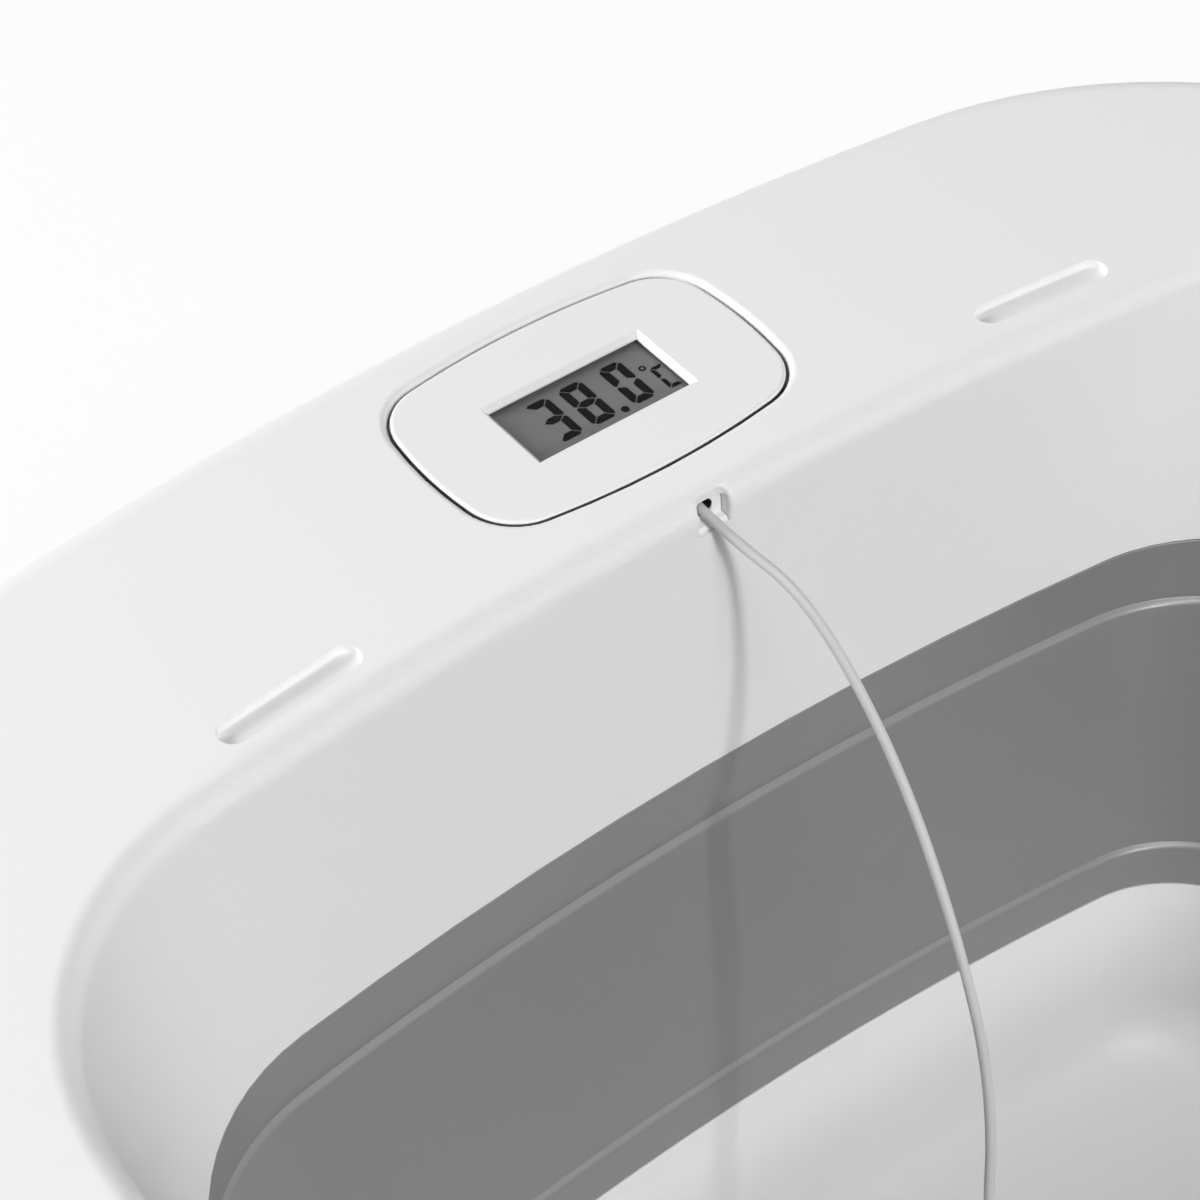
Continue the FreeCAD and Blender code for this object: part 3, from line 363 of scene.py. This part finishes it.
def shaded_hole(material, start, along, radius, depth, tone):
    """Paint shade on the inside of a round hole that runs from start in the unit direction along.

    Mask: |(P - start) x along| < radius, times (P - start) . along > depth.
    """
    tree = material.node_tree
    away = offset_from(tree, start)
    aside = worked(tree, "ShaderNodeVectorMath", "CROSS_PRODUCT", away, along)
    distance = worked(tree, "ShaderNodeVectorMath", "LENGTH", aside.outputs[0])
    within = worked(tree, "ShaderNodeMath", "LESS_THAN", distance.outputs["Value"], radius)
    ahead = worked(tree, "ShaderNodeVectorMath", "DOT_PRODUCT", away, along)
    deep = worked(tree, "ShaderNodeMath", "GREATER_THAN", ahead.outputs["Value"], depth)
    mask = worked(tree, "ShaderNodeMath", "MULTIPLY", within.outputs[0], deep.outputs[0])
    paint_where(tree, mask.outputs[0], tone)


def shaded_joint(material, middle, reach, level, tone):
    """Paint shade on a part's skin below a level and outside a box, where a narrow joint runs round
    it.

    Mask: max(|x - mx| / rx, |y - my| / ry) > 1, times a ramp in z from 0 at level to 1 under it.
    """
    tree = material.node_tree
    away = offset_from(tree, (*middle, level))
    size = worked(tree, "ShaderNodeVectorMath", "ABSOLUTE", away)
    share = worked(tree, "ShaderNodeVectorMath", "DIVIDE", size.outputs[0], (*reach, 1))
    flat = parts_of(tree, share.outputs[0])
    widest = worked(tree, "ShaderNodeMath", "MAXIMUM", flat["X"], flat["Y"])
    outside = worked(tree, "ShaderNodeMath", "GREATER_THAN", widest.outputs[0], 1)
    below = tree.nodes.new("ShaderNodeMapRange")
    below.inputs["From Min"].default_value = 0
    below.inputs["From Max"].default_value = -JOINT_FADE
    tree.links.new(parts_of(tree, away)["Z"], below.inputs["Value"])
    mask = worked(tree, "ShaderNodeMath", "MULTIPLY", outside.outputs[0], below.outputs["Result"])
    paint_where(tree, mask.outputs[0], tone)


print("shade functions ready")

# %% [markdown]
# ## The materials
# Most of the basin is one white plastic. The band is a softer grey rubber with a faint sheen, the
# cord a slightly duller white, and the display a grey film under a clear window. Tones are written as
# screen greys from 0 to 255 and turned into linear light. A second tone a little darker gives the
# slow drift.

# %% Plastics and rubbers
WHITE_SKIN = (toned(242, blue=0.998), toned(239, blue=0.995), (0.34, 0.52))
white_plastic = moulded("white plastic", *WHITE_SKIN)
case_plastic = moulded("case plastic", toned(235), toned(232), (0.30, 0.45))
band_rubber = moulded("band rubber", toned(137), toned(132), (0.27, 0.40),
                      drift=12, grain=1100, bump=0.12)
band_rubber.node_tree.nodes["Principled BSDF"].inputs["Specular IOR Level"].default_value = 0.75
foot_rubber = moulded("foot rubber", toned(96), toned(84), (0.60, 0.80), drift=30, bump=0.2)
grey_plastic = moulded("grey plastic", toned(205), toned(199), (0.32, 0.48), drift=15)
roller_plastic = moulded("roller plastic", toned(150, 0.97, 1.03), toned(140, 0.97, 1.03),
                         (0.28, 0.42), drift=25)
cord_skin = moulded("cord skin", toned(210), toned(204), (0.38, 0.50), drift=60, grain=2500, bump=0.05)
probe_plastic = moulded("probe plastic", toned(228), toned(222), (0.30, 0.42), drift=60)
print("materials so far:", len(bpy.data.materials))

# %% Display, board and steel
display_film = moulded("display", toned(123, 0.985, 0.97), toned(118, 0.985, 0.97), (0.20, 0.30),
                       drift=30, bump=0)
segment_black = moulded("segment black", toned(20), toned(12), (0.45, 0.6), drift=90, bump=0)
segment_black.node_tree.nodes["Principled BSDF"].inputs["Specular IOR Level"].default_value = 0.05
board_lacquer = moulded("board lacquer", (0.02, 0.12, 0.05, 1), (0.015, 0.09, 0.04, 1), (0.25, 0.4),
                        drift=60)
steel = moulded("brushed steel", toned(190), toned(176), (0.22, 0.40), drift=40, grain=3000, bump=0.1)
steel.node_tree.nodes["Principled BSDF"].inputs["Metallic"].default_value = 1

clear_window = bpy.data.materials.new("clear window")
clear_window.use_nodes = True
clear_shader = clear_window.node_tree.nodes["Principled BSDF"]
clear_shader.inputs["Base Color"].default_value = (0.0, 0.0, 0.0, 1)
clear_shader.inputs["Roughness"].default_value = 0.06
clear_shader.inputs["Alpha"].default_value = 0.06

print("materials so far:", len(bpy.data.materials))

# %% Finish of each slot
finish_of = {
    "white_plastic": white_plastic,
    "case_plastic": case_plastic,
    "band_rubber": band_rubber,
    "soft_rubber": foot_rubber,
    "grey_plastic": grey_plastic,
    "roller_plastic": roller_plastic,
    "steel": steel,
    "clear_window": clear_window,
    "display": display_film,
    "board": board_lacquer,
    "cord_skin": cord_skin,
    "probe_plastic": probe_plastic,
}
print("finishes:", len(finish_of))

# %% [markdown]
# ## Dressing the rigid pieces
# A CAD node arrives as loose triangles, which would shade as flat facets. Three modifiers mend that
# without touching the mesh: Weld joins the corners that meet, Edge Split keeps the edges sharper
# than a given angle crisp, and Weighted Normal lets the large flat faces keep their own direction,
# so that smooth shading rounds only the true fillets.

# %% Materials and smooth shading on the CAD nodes
CRISP_ANGLE = 28
FLAT_WEIGHT = 90          # 50 weighs faces by area, and more favours the large ones


def coat(piece, material):
    """Make the material the piece's only one."""
    piece.data.materials.clear()
    piece.data.materials.append(material)


def smooth(piece):
    """Shade every face of the piece smooth."""
    piece.data.polygons.foreach_set("use_smooth", np.ones(len(piece.data.polygons), bool))


def dress(piece, material):
    """Give a CAD node its finish and smooth shading between crisp edges."""
    coat(piece, material)
    smooth(piece)
    piece.data.polygons.foreach_set("material_index", np.zeros(len(piece.data.polygons), np.int32))
    weld = piece.modifiers.new("join corners", "WELD")
    weld.merge_threshold = 0.002 * MM
    crisp = piece.modifiers.new("crisp edges", "EDGE_SPLIT")
    crisp.split_angle = math.radians(CRISP_ANGLE)
    steady = piece.modifiers.new("steady flats", "WEIGHTED_NORMAL")
    steady.weight = FLAT_WEIGHT
    steady.keep_sharp = True


slot_of = {part["node"]: part["material_slot"] for part in frame["record"]["subparts"]}
for name in sorted(node):
    dress(node[name], finish_of[slot_of[name]])
print("dressed", len(slot_of), "nodes in", len(set(slot_of.values())), "finishes")

# %% [markdown]
# ## The thermometer's cover
# The white cover sits in a recess with a narrow joint all round. Its top face is level, so the joint
# is whatever lies a little below that face and away from the middle, where the display's window is.
# The cover gets a white plastic of its own, with the shade in the joint.

# %% Cover plastic
COVER_EDGE = 0.38 * MM    # from the cover's top down to where the shade starts
CLEAR_SHARE = 0.35        # of the cover's size, from its middle to where the shade may start
JOINT_SHADE_TONE = 75
cover_low, cover_high = edges_of("thermometer_panel")
cover_middle = (cover_low + cover_high)[:2] / 2
cover_plastic = moulded("cover plastic", toned(241), toned(238), (0.30, 0.45))
# Painted shade in the narrow joint round the cover, below its top face.
shaded_joint(cover_plastic, cover_middle, (cover_high - cover_low)[:2] * CLEAR_SHARE,
             cover_high[2] - COVER_EDGE, grey(JOINT_SHADE_TONE))
coat(node["thermometer_panel"], cover_plastic)
print("cover", [round(value / MM, 1) for value in cover_high - cover_low], "mm")

# %% [markdown]
# ## The outline
# Rim, mouth, band and base all follow one kind of closed curve: a rounded rectangle whose ends and
# sides bow outwards. It is eight arcs that meet on common tangents. Moving the curve inwards only
# shortens every radius, so a whole stack of parallel rings is one array sum: each ring's point is
# its arc's centre plus (radius - inset) along the outward direction.

# %% Bowed outline
class Bowed:
    """Closed curve of eight tangent arcs, sampled as centres, radii and outward directions."""

    def __init__(self, width, length, corner, end_bow, side_bow, middle_y, steps):
        end, side = math.radians(end_bow), math.radians(side_bow)
        rise, swell = math.tan(end / 2), math.tan(side / 2)
        across, along = width / 2 - corner, length / 2 - corner
        x = (across - along * swell) / (1 - rise * swell)
        y = along - x * rise
        end_radius = corner + x / math.sin(end)
        side_radius = corner + y / math.sin(side)
        quarter = math.pi / 2
        arcs = []
        for turn in (0, 1):
            flip = 1 - 2 * turn
            base = math.pi * turn
            arcs.append((0, flip * (length / 2 - end_radius), end_radius, base - end, base + end))
            arcs.append((flip * x, flip * y, corner, base + end, base + quarter - side))
            arcs.append((flip * (width / 2 - side_radius), 0, side_radius,
                         base + quarter - side, base + quarter + side))
            arcs.append((flip * x, -flip * y, corner, base + quarter + side, base + 2 * quarter - end))
        centres, radii, angles = [], [], []
        for (cx, cy, radius, start, stop), count in zip(arcs, steps * 2):
            angle = start + (stop - start) * np.arange(count) / count
            angles.append(angle)
            radii.append(np.full(count, radius))
            centres.append(np.tile((cx, cy + middle_y), (count, 1)))
        angle = np.concatenate(angles)
        self.centre = np.concatenate(centres)
        self.radius = np.concatenate(radii)
        self.out = np.stack([np.sin(angle), np.cos(angle)], axis=1)

    def rings(self, inset, z):
        """Array of shape (levels, around, 3): one parallel ring for each inset and height."""
        inset, z = np.asarray(inset), np.asarray(z)
        reach = self.radius[None, :] - inset[:, None]
        flat = self.centre[None] + reach[:, :, None] * self.out[None]
        height = np.broadcast_to(z[:, None, None], flat.shape[:2] + (1,))
        return np.concatenate([flat, height], axis=2)


def closed_skin(rings):
    """Quads of a surface closed both ways, around each ring and from the last ring to the first."""
    levels, around = rings.shape[:2]
    index = np.arange(levels * around).reshape(levels, around)
    up = np.roll(index, -1, axis=0)
    quads = np.stack([index, np.roll(index, -1, axis=1), np.roll(up, -1, axis=1), up], axis=-1)
    return rings.reshape(-1, 3), quads.reshape(-1, 4)


# %% [markdown]
# ## The folding band
# On the real basin this is a soft ring of thermoplastic rubber between the stiff rim and the stiff
# base. Two moulded ledges divide it into three strips, and the middle one turns over as the rim is
# pushed down. It could be a cloth simulation, but the moulded section is known, so it is drawn as a
# profile with rounded corners and carried round the mouth's outline.

# %% Band sizes
band_low, band_high = edges_of("collapsible_band")
BAND_WALL = 2.2 * MM
LEDGE = 1.2 * MM
LEDGE_DROP = 0.7 * MM
UPPER_FLARE = 1.2 * MM
FOLD_TAPER = 11.6 * MM
LOWER_TAPER = 1.1 * MM
UPPER_STRIP = 17.1 * MM
FOLD_STRIP = 57.7 * MM
SEAM = 0.2 * MM
BAND_TOP = band_high[2] + SEAM
RIDGE_HIGH = BAND_TOP - UPPER_STRIP
RIDGE_LOW = RIDGE_HIGH - FOLD_STRIP
MOUTH_WIDTH = band_high[0] - band_low[0] - 2 * (UPPER_FLARE + BAND_WALL)
MOUTH_LENGTH = band_high[1] - band_low[1] - 2 * (UPPER_FLARE + BAND_WALL)
MOUTH_Y = (band_high[1] + band_low[1]) / 2
MOUTH_CORNER = 43 * MM
END_BOW = 7.0
SIDE_BOW = 4.5
AROUND = (40, 26, 40, 26)      # steps in an end, a corner, a side and a corner
MOUTH = Bowed(MOUTH_WIDTH, MOUTH_LENGTH, MOUTH_CORNER, END_BOW, SIDE_BOW, MOUTH_Y, AROUND)
print("mouth", round(MOUTH_WIDTH / MM, 1), "x", round(MOUTH_LENGTH / MM, 1), "mm")
print("ledges at", round(RIDGE_HIGH / MM, 1), "and", round(RIDGE_LOW / MM, 1), "mm")

# %% Profile with rounded corners
ARC_POINTS = 6


def rounded(corners, radii, step):
    """Closed line through the corners, each replaced by an arc that touches both its sides.

    The arc's ends lie radius * tan(half the turn) from the corner. Between them it is the sum of its
    two end arms weighted by the sines of the angles still to go and already gone, over the sine of
    the whole turn. Straight stretches are cut into steps no longer than step.
    """
    corners = np.asarray(corners, float)
    before, after = np.roll(corners, 1, axis=0), np.roll(corners, -1, axis=0)
    line = []
    for start, here, stop, radius in zip(before, corners, after, radii):
        back = (start - here) / np.linalg.norm(start - here)
        ahead = (stop - here) / np.linalg.norm(stop - here)
        half = math.acos(np.clip(-(back @ ahead), -1, 1)) / 2
        reach = radius * math.tan(half)
        middle = (back + ahead) / np.linalg.norm(back + ahead)
        centre = here + middle * radius / math.cos(half)
        arms = np.array([here + back * reach, here + ahead * reach]) - centre
        gone = np.linspace(0, 2 * half, ARC_POINTS)[:, None]
        sweep = arms[0] * np.sin(2 * half - gone) + arms[1] * np.sin(gone)
        line.append(centre + sweep / math.sin(2 * half))
    points = []
    for arc, following in zip(line, line[1:] + line[:1]):
        points.append(arc)
        gap = np.linalg.norm(following[0] - arc[-1])
        count = int(gap // step)
        share = (np.arange(1, count + 1) / (count + 1))[:, None]
        points.append(arc[-1] + (following[0] - arc[-1]) * share)
    return np.concatenate(points)


inner = [
    (0.0, BAND_TOP - SEAM),
    (-UPPER_FLARE, RIDGE_HIGH + LEDGE_DROP),
    (LEDGE - UPPER_FLARE, RIDGE_HIGH),
    (LEDGE + FOLD_TAPER - UPPER_FLARE, RIDGE_LOW + LEDGE_DROP),
    (2 * LEDGE + FOLD_TAPER - UPPER_FLARE, RIDGE_LOW),
    (2 * LEDGE + FOLD_TAPER + LOWER_TAPER - UPPER_FLARE, band_low[2]),
]
outer = [(inset - BAND_WALL, z) for inset, z in reversed(inner)]
LIP_ROUND = 0.25 * MM
LEDGE_CREASE = 0.2 * MM   # inward turn above a ledge
LEDGE_CREST = 1.6 * MM    # outward turn below it
# The wall is even, so the outside turns sharply where the inside turns gently.
rounds = ([LIP_ROUND] + [LEDGE_CREASE, LEDGE_CREST] * 2 + [LIP_ROUND]) * 2
SECTION_STEP = 1.3 * MM
section = rounded(inner + outer, rounds, SECTION_STEP)
print("band section points", len(section))

# %% Band skin
band_points, band_faces = closed_skin(MOUTH.rings(section[:, 0], section[:, 1]))
band = new_piece("band_skin", band_points, band_faces.tolist())
smooth(band)
coat(band, band_rubber)
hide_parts("collapsible_band")
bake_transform(band)
print("band faces", len(band_faces))

# %% [markdown]
# ## The probe's cord
# A thin white cord hangs from the notch in the rim down the inner wall to a probe on the floor. Its
# route is a short list of points, the same as the solid's. A NURBS spline takes them as control
# points, so it bends like a real cord, and a tube is then carried along that spline. The tube is a
# mesh; on the real basin its upper end goes down with the rim while its lower end stays.

# %% Cord route
CORD_DIAMETER = 1.85 * MM
CORD_ROUTE = (
    (0.3, 160.8, 195.7),
    (1.0, 149.9, 193.7),
    (5.3, 134.8, 189.2),
    (7.1, 113.4, 168.6),
    (1.5, 89.4, 148.9),
    (0.7, 76.1, 120.3),
    (-4.7, 68.1, 89.7),
    (-5.1, 56.4, 57.7),
    (-4.0, 44.0, 26.0),
    (-1.8, 18.0, 10.4),
    (-1.5, -4.0, 10.4),
)
print("route points", len(CORD_ROUTE))

# %% Spline and tube
def nurbs_line(name, route, resolution):
    """Points of a NURBS spline that has the route, in millimetres, as its control points.

    Its order is 3, so each stretch of it is part of a parabola.
    """
    curve = bpy.data.curves.new(name, "CURVE")
    curve.dimensions = "3D"
    curve.resolution_u = resolution
    spline = curve.splines.new("NURBS")
    spline.points.add(len(route) - 1)
    for point, place in zip(spline.points, route):
        point.co = (*(value * MM for value in place), 1)
    spline.order_u = 3
    spline.use_endpoint_u = True
    holder = bpy.data.objects.new(name, curve)
    bpy.context.scene.collection.objects.link(holder)
    bpy.context.view_layer.update()
    mesh = bpy.data.meshes.new_from_object(holder)
    line = np.zeros(len(mesh.vertices) * 3)
    mesh.vertices.foreach_get("co", line)
    bpy.data.meshes.remove(mesh)
    bpy.data.objects.remove(holder)
    bpy.data.curves.remove(curve)
    return line.reshape(-1, 3)


def tube(line, radius, sides):
    """Rings of a tube about a line: each is the line's point plus radius * (cos, sin) across it.

    The rings' first direction is the X axis made square to the tangent, which never turns along X
    here, so the rings don't twist. The ends are open.
    """
    tangent = np.gradient(line, axis=0)
    tangent /= np.linalg.norm(tangent, axis=1)[:, None]
    first = np.array([1.0, 0, 0]) - tangent * tangent[:, :1]
    first /= np.linalg.norm(first, axis=1)[:, None]
    second = np.cross(tangent, first)
    angle = np.linspace(0, 2 * math.pi, sides, endpoint=False)[None, :, None]
    turn = first[:, None] * np.cos(angle) + second[:, None] * np.sin(angle)
    return line[:, None] + radius * turn


def capped(rings):
    """Quads of an open stack of rings, with a face on each end."""
    levels, around = rings.shape[:2]
    index = np.arange(levels * around).reshape(levels, around)
    across = np.roll(index, -1, axis=1)
    quads = np.stack([index[:-1], across[:-1], across[1:], index[1:]], axis=-1).reshape(-1, 4)
    faces = quads.tolist() + [index[0][::-1].tolist(), index[-1].tolist()]
    return rings.reshape(-1, 3), faces


# %% Cord
CORD_STEPS = 14           # points of the line in each stretch of the spline
CORD_SIDES = 16
cord_line = nurbs_line("cord_line", CORD_ROUTE, CORD_STEPS)
cord = new_piece("probe_lead", *capped(tube(cord_line, CORD_DIAMETER / 2, CORD_SIDES)))
smooth(cord)
coat(cord, cord_skin)
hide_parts("probe_cord")
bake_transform(cord)

# %% [markdown]
# ## The grommet in the notch
# The cord comes out of a hole in a small white piece that fills the notch. The hole runs along the
# cord's first stretch and is wider than the cord. The grommet gets the basin's white plastic, with
# the shade inside the hole.

# %% Grommet plastic
HOLE_SHIFT = (0.4, 0.0, 0.3)    # the hole's middle from the cord's, in millimetres
HOLE_RADIUS = 1.75 * MM   # a little more than the hole's own, so that its wall is within
HOLE_SHADE = 7.2 * MM     # from the route's second point to where the shade starts
HOLE_SHADE_TONE = 40
hole_start = Vector(CORD_ROUTE[1]) + Vector(HOLE_SHIFT)
hole_along = (Vector(CORD_ROUTE[0]) - Vector(CORD_ROUTE[1])).normalized()
grommet_plastic = moulded("grommet plastic", *WHITE_SKIN)
# Painted shade inside the hole the cord comes out of.
shaded_hole(grommet_plastic, hole_start * MM, hole_along, HOLE_RADIUS, HOLE_SHADE, grey(HOLE_SHADE_TONE))
coat(node["cord_grommet"], grommet_plastic)
print("hole along", tuple(round(value, 2) for value in hole_along))

# %% [markdown]
# ## The display's segments
# The reading is drawn by liquid-crystal segments: seven bars to a digit, cut at 45 degrees where
# they meet, with a thin light gap between. A digital typeface could draw them, but its bars would
# have proportions of their own, so each bar is worked out, as a thin plate just above the film.
# Three bars are drawn, and mirroring them across the figure's middle lines gives the others.

# %% Segment bars
lcd_low, lcd_high = edges_of("lcd_panel")
LCD_LAP = 1.4 * MM
WINDOW_LEFT = lcd_low[0] + LCD_LAP
WINDOW_NEAR = lcd_low[1] + LCD_LAP
INK_LIFT = 0.02 * MM
INK_WALL = 0.03 * MM
BAR_GAP = 0.13            # from a bar's cut end to the diagonal of its corner, along the bar
print("window's corner", round(WINDOW_LEFT / MM, 1), round(WINDOW_NEAR / MM, 1), "mm")


def figure(names, left, low, width, height, thick):
    """Bars of one seven-segment figure, as a list of corner arrays in millimetres.

    Bars a, f and g are drawn from the figure's top left corner. The other four are their mirror
    images across the figure's two middle lines.
    """
    half, cut, nib = height / 2, BAR_GAP, thick / 4
    top = np.array([(nib + cut, -nib), (thick + cut, -thick), (width - thick - cut, -thick),
                    (width - nib - cut, -nib), (width - 2 * nib - cut, 0), (2 * nib + cut, 0)])
    upright = np.array([(nib, -nib - cut), (0, -2 * nib - cut), (0, nib + cut - half),
                        (nib, cut - half), (thick, thick / 2 + cut - half), (thick, -thick - cut)])
    middle = np.array([(nib + 2 * cut, -half), (thick + cut, -half - thick / 2),
                       (width - thick - cut, -half - thick / 2), (width - nib - 2 * cut, -half),
                       (width - thick - cut, thick / 2 - half), (thick + cut, thick / 2 - half)])

    def across(corners):
        return (corners * (-1, 1) + (width, 0))[::-1]

    def down(corners):
        return (corners * (1, -1) - (0, height))[::-1]

    bars = {"a": top, "b": across(upright), "c": down(across(upright)), "d": down(top),
            "e": down(upright), "f": upright, "g": middle}
    return [bars[name] + (left, low + height) for name in names]


def circle(centre_x, centre_y, radius, count):
    """Points of a circle: its centre plus radius * (cos, sin) at equal angles."""
    angle = np.linspace(0, 2 * math.pi, count, endpoint=False)
    return np.stack([centre_x + radius * np.cos(angle), centre_y + radius * np.sin(angle)], axis=1)


def ring(centre_x, centre_y, outer, inner, count=16):
    """Flat ring as a list of four-cornered pieces between two circles."""
    wide = circle(centre_x, centre_y, outer, count)
    narrow = circle(centre_x, centre_y, inner, count)
    after = np.roll(np.arange(count), -1)
    return list(np.stack([wide, wide[after], narrow[after], narrow], axis=1))


# %% The reading
DIGIT_LOW = 2.4
DIGIT_HEIGHT = 10.9
DIGIT_THICK = 1.6
DIGITS = (("abgcd", 6.15, 5.0), ("abcdefg", 13.25, 5.0), ("abcdef", 21.95, 4.7))  # bars, left, width
UNIT = ("adef", 29.35, 2.05, 2.9, 6.2, 0.85)      # bars, left, low, width, height, thickness
POINT = (19.95, 2.7, 0.75, 24)                    # middle, radius, corners
DEGREE = (28.65, 9.08, 0.68, 0.34)                # middle, outer and inner radius
plates = []
for bars, left, width in DIGITS:
    plates += figure(bars, left, DIGIT_LOW, width, DIGIT_HEIGHT, DIGIT_THICK)
plates += figure(*UNIT)
plates.append(circle(*POINT))
plates += ring(*DEGREE)
print("segment plates", len(plates))

# %% Plates of ink
def ink(plates):
    """Thin plates: every outline twice, low and high, with a floor, a cover and sides."""
    points, faces = [], []
    for outline in plates:
        flat = outline * MM + (WINDOW_LEFT, WINDOW_NEAR)
        first, count = sum(map(len, points)), len(flat)
        low = lcd_high[2] + INK_LIFT
        points.append(np.column_stack([flat, np.full(count, low)]))
        points.append(np.column_stack([flat, np.full(count, low + INK_WALL)]))
        under = np.arange(first, first + count)
        over = under + count
        sides = np.stack([under, np.roll(under, -1), np.roll(over, -1), over], axis=1)
        faces += [under[::-1].tolist(), over.tolist()] + sides.tolist()
    return np.concatenate(points), faces


segments = new_piece("display_segments", *ink(plates))
coat(segments, segment_black)
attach(segments, "rim")
print("segment faces", len(segments.data.polygons))
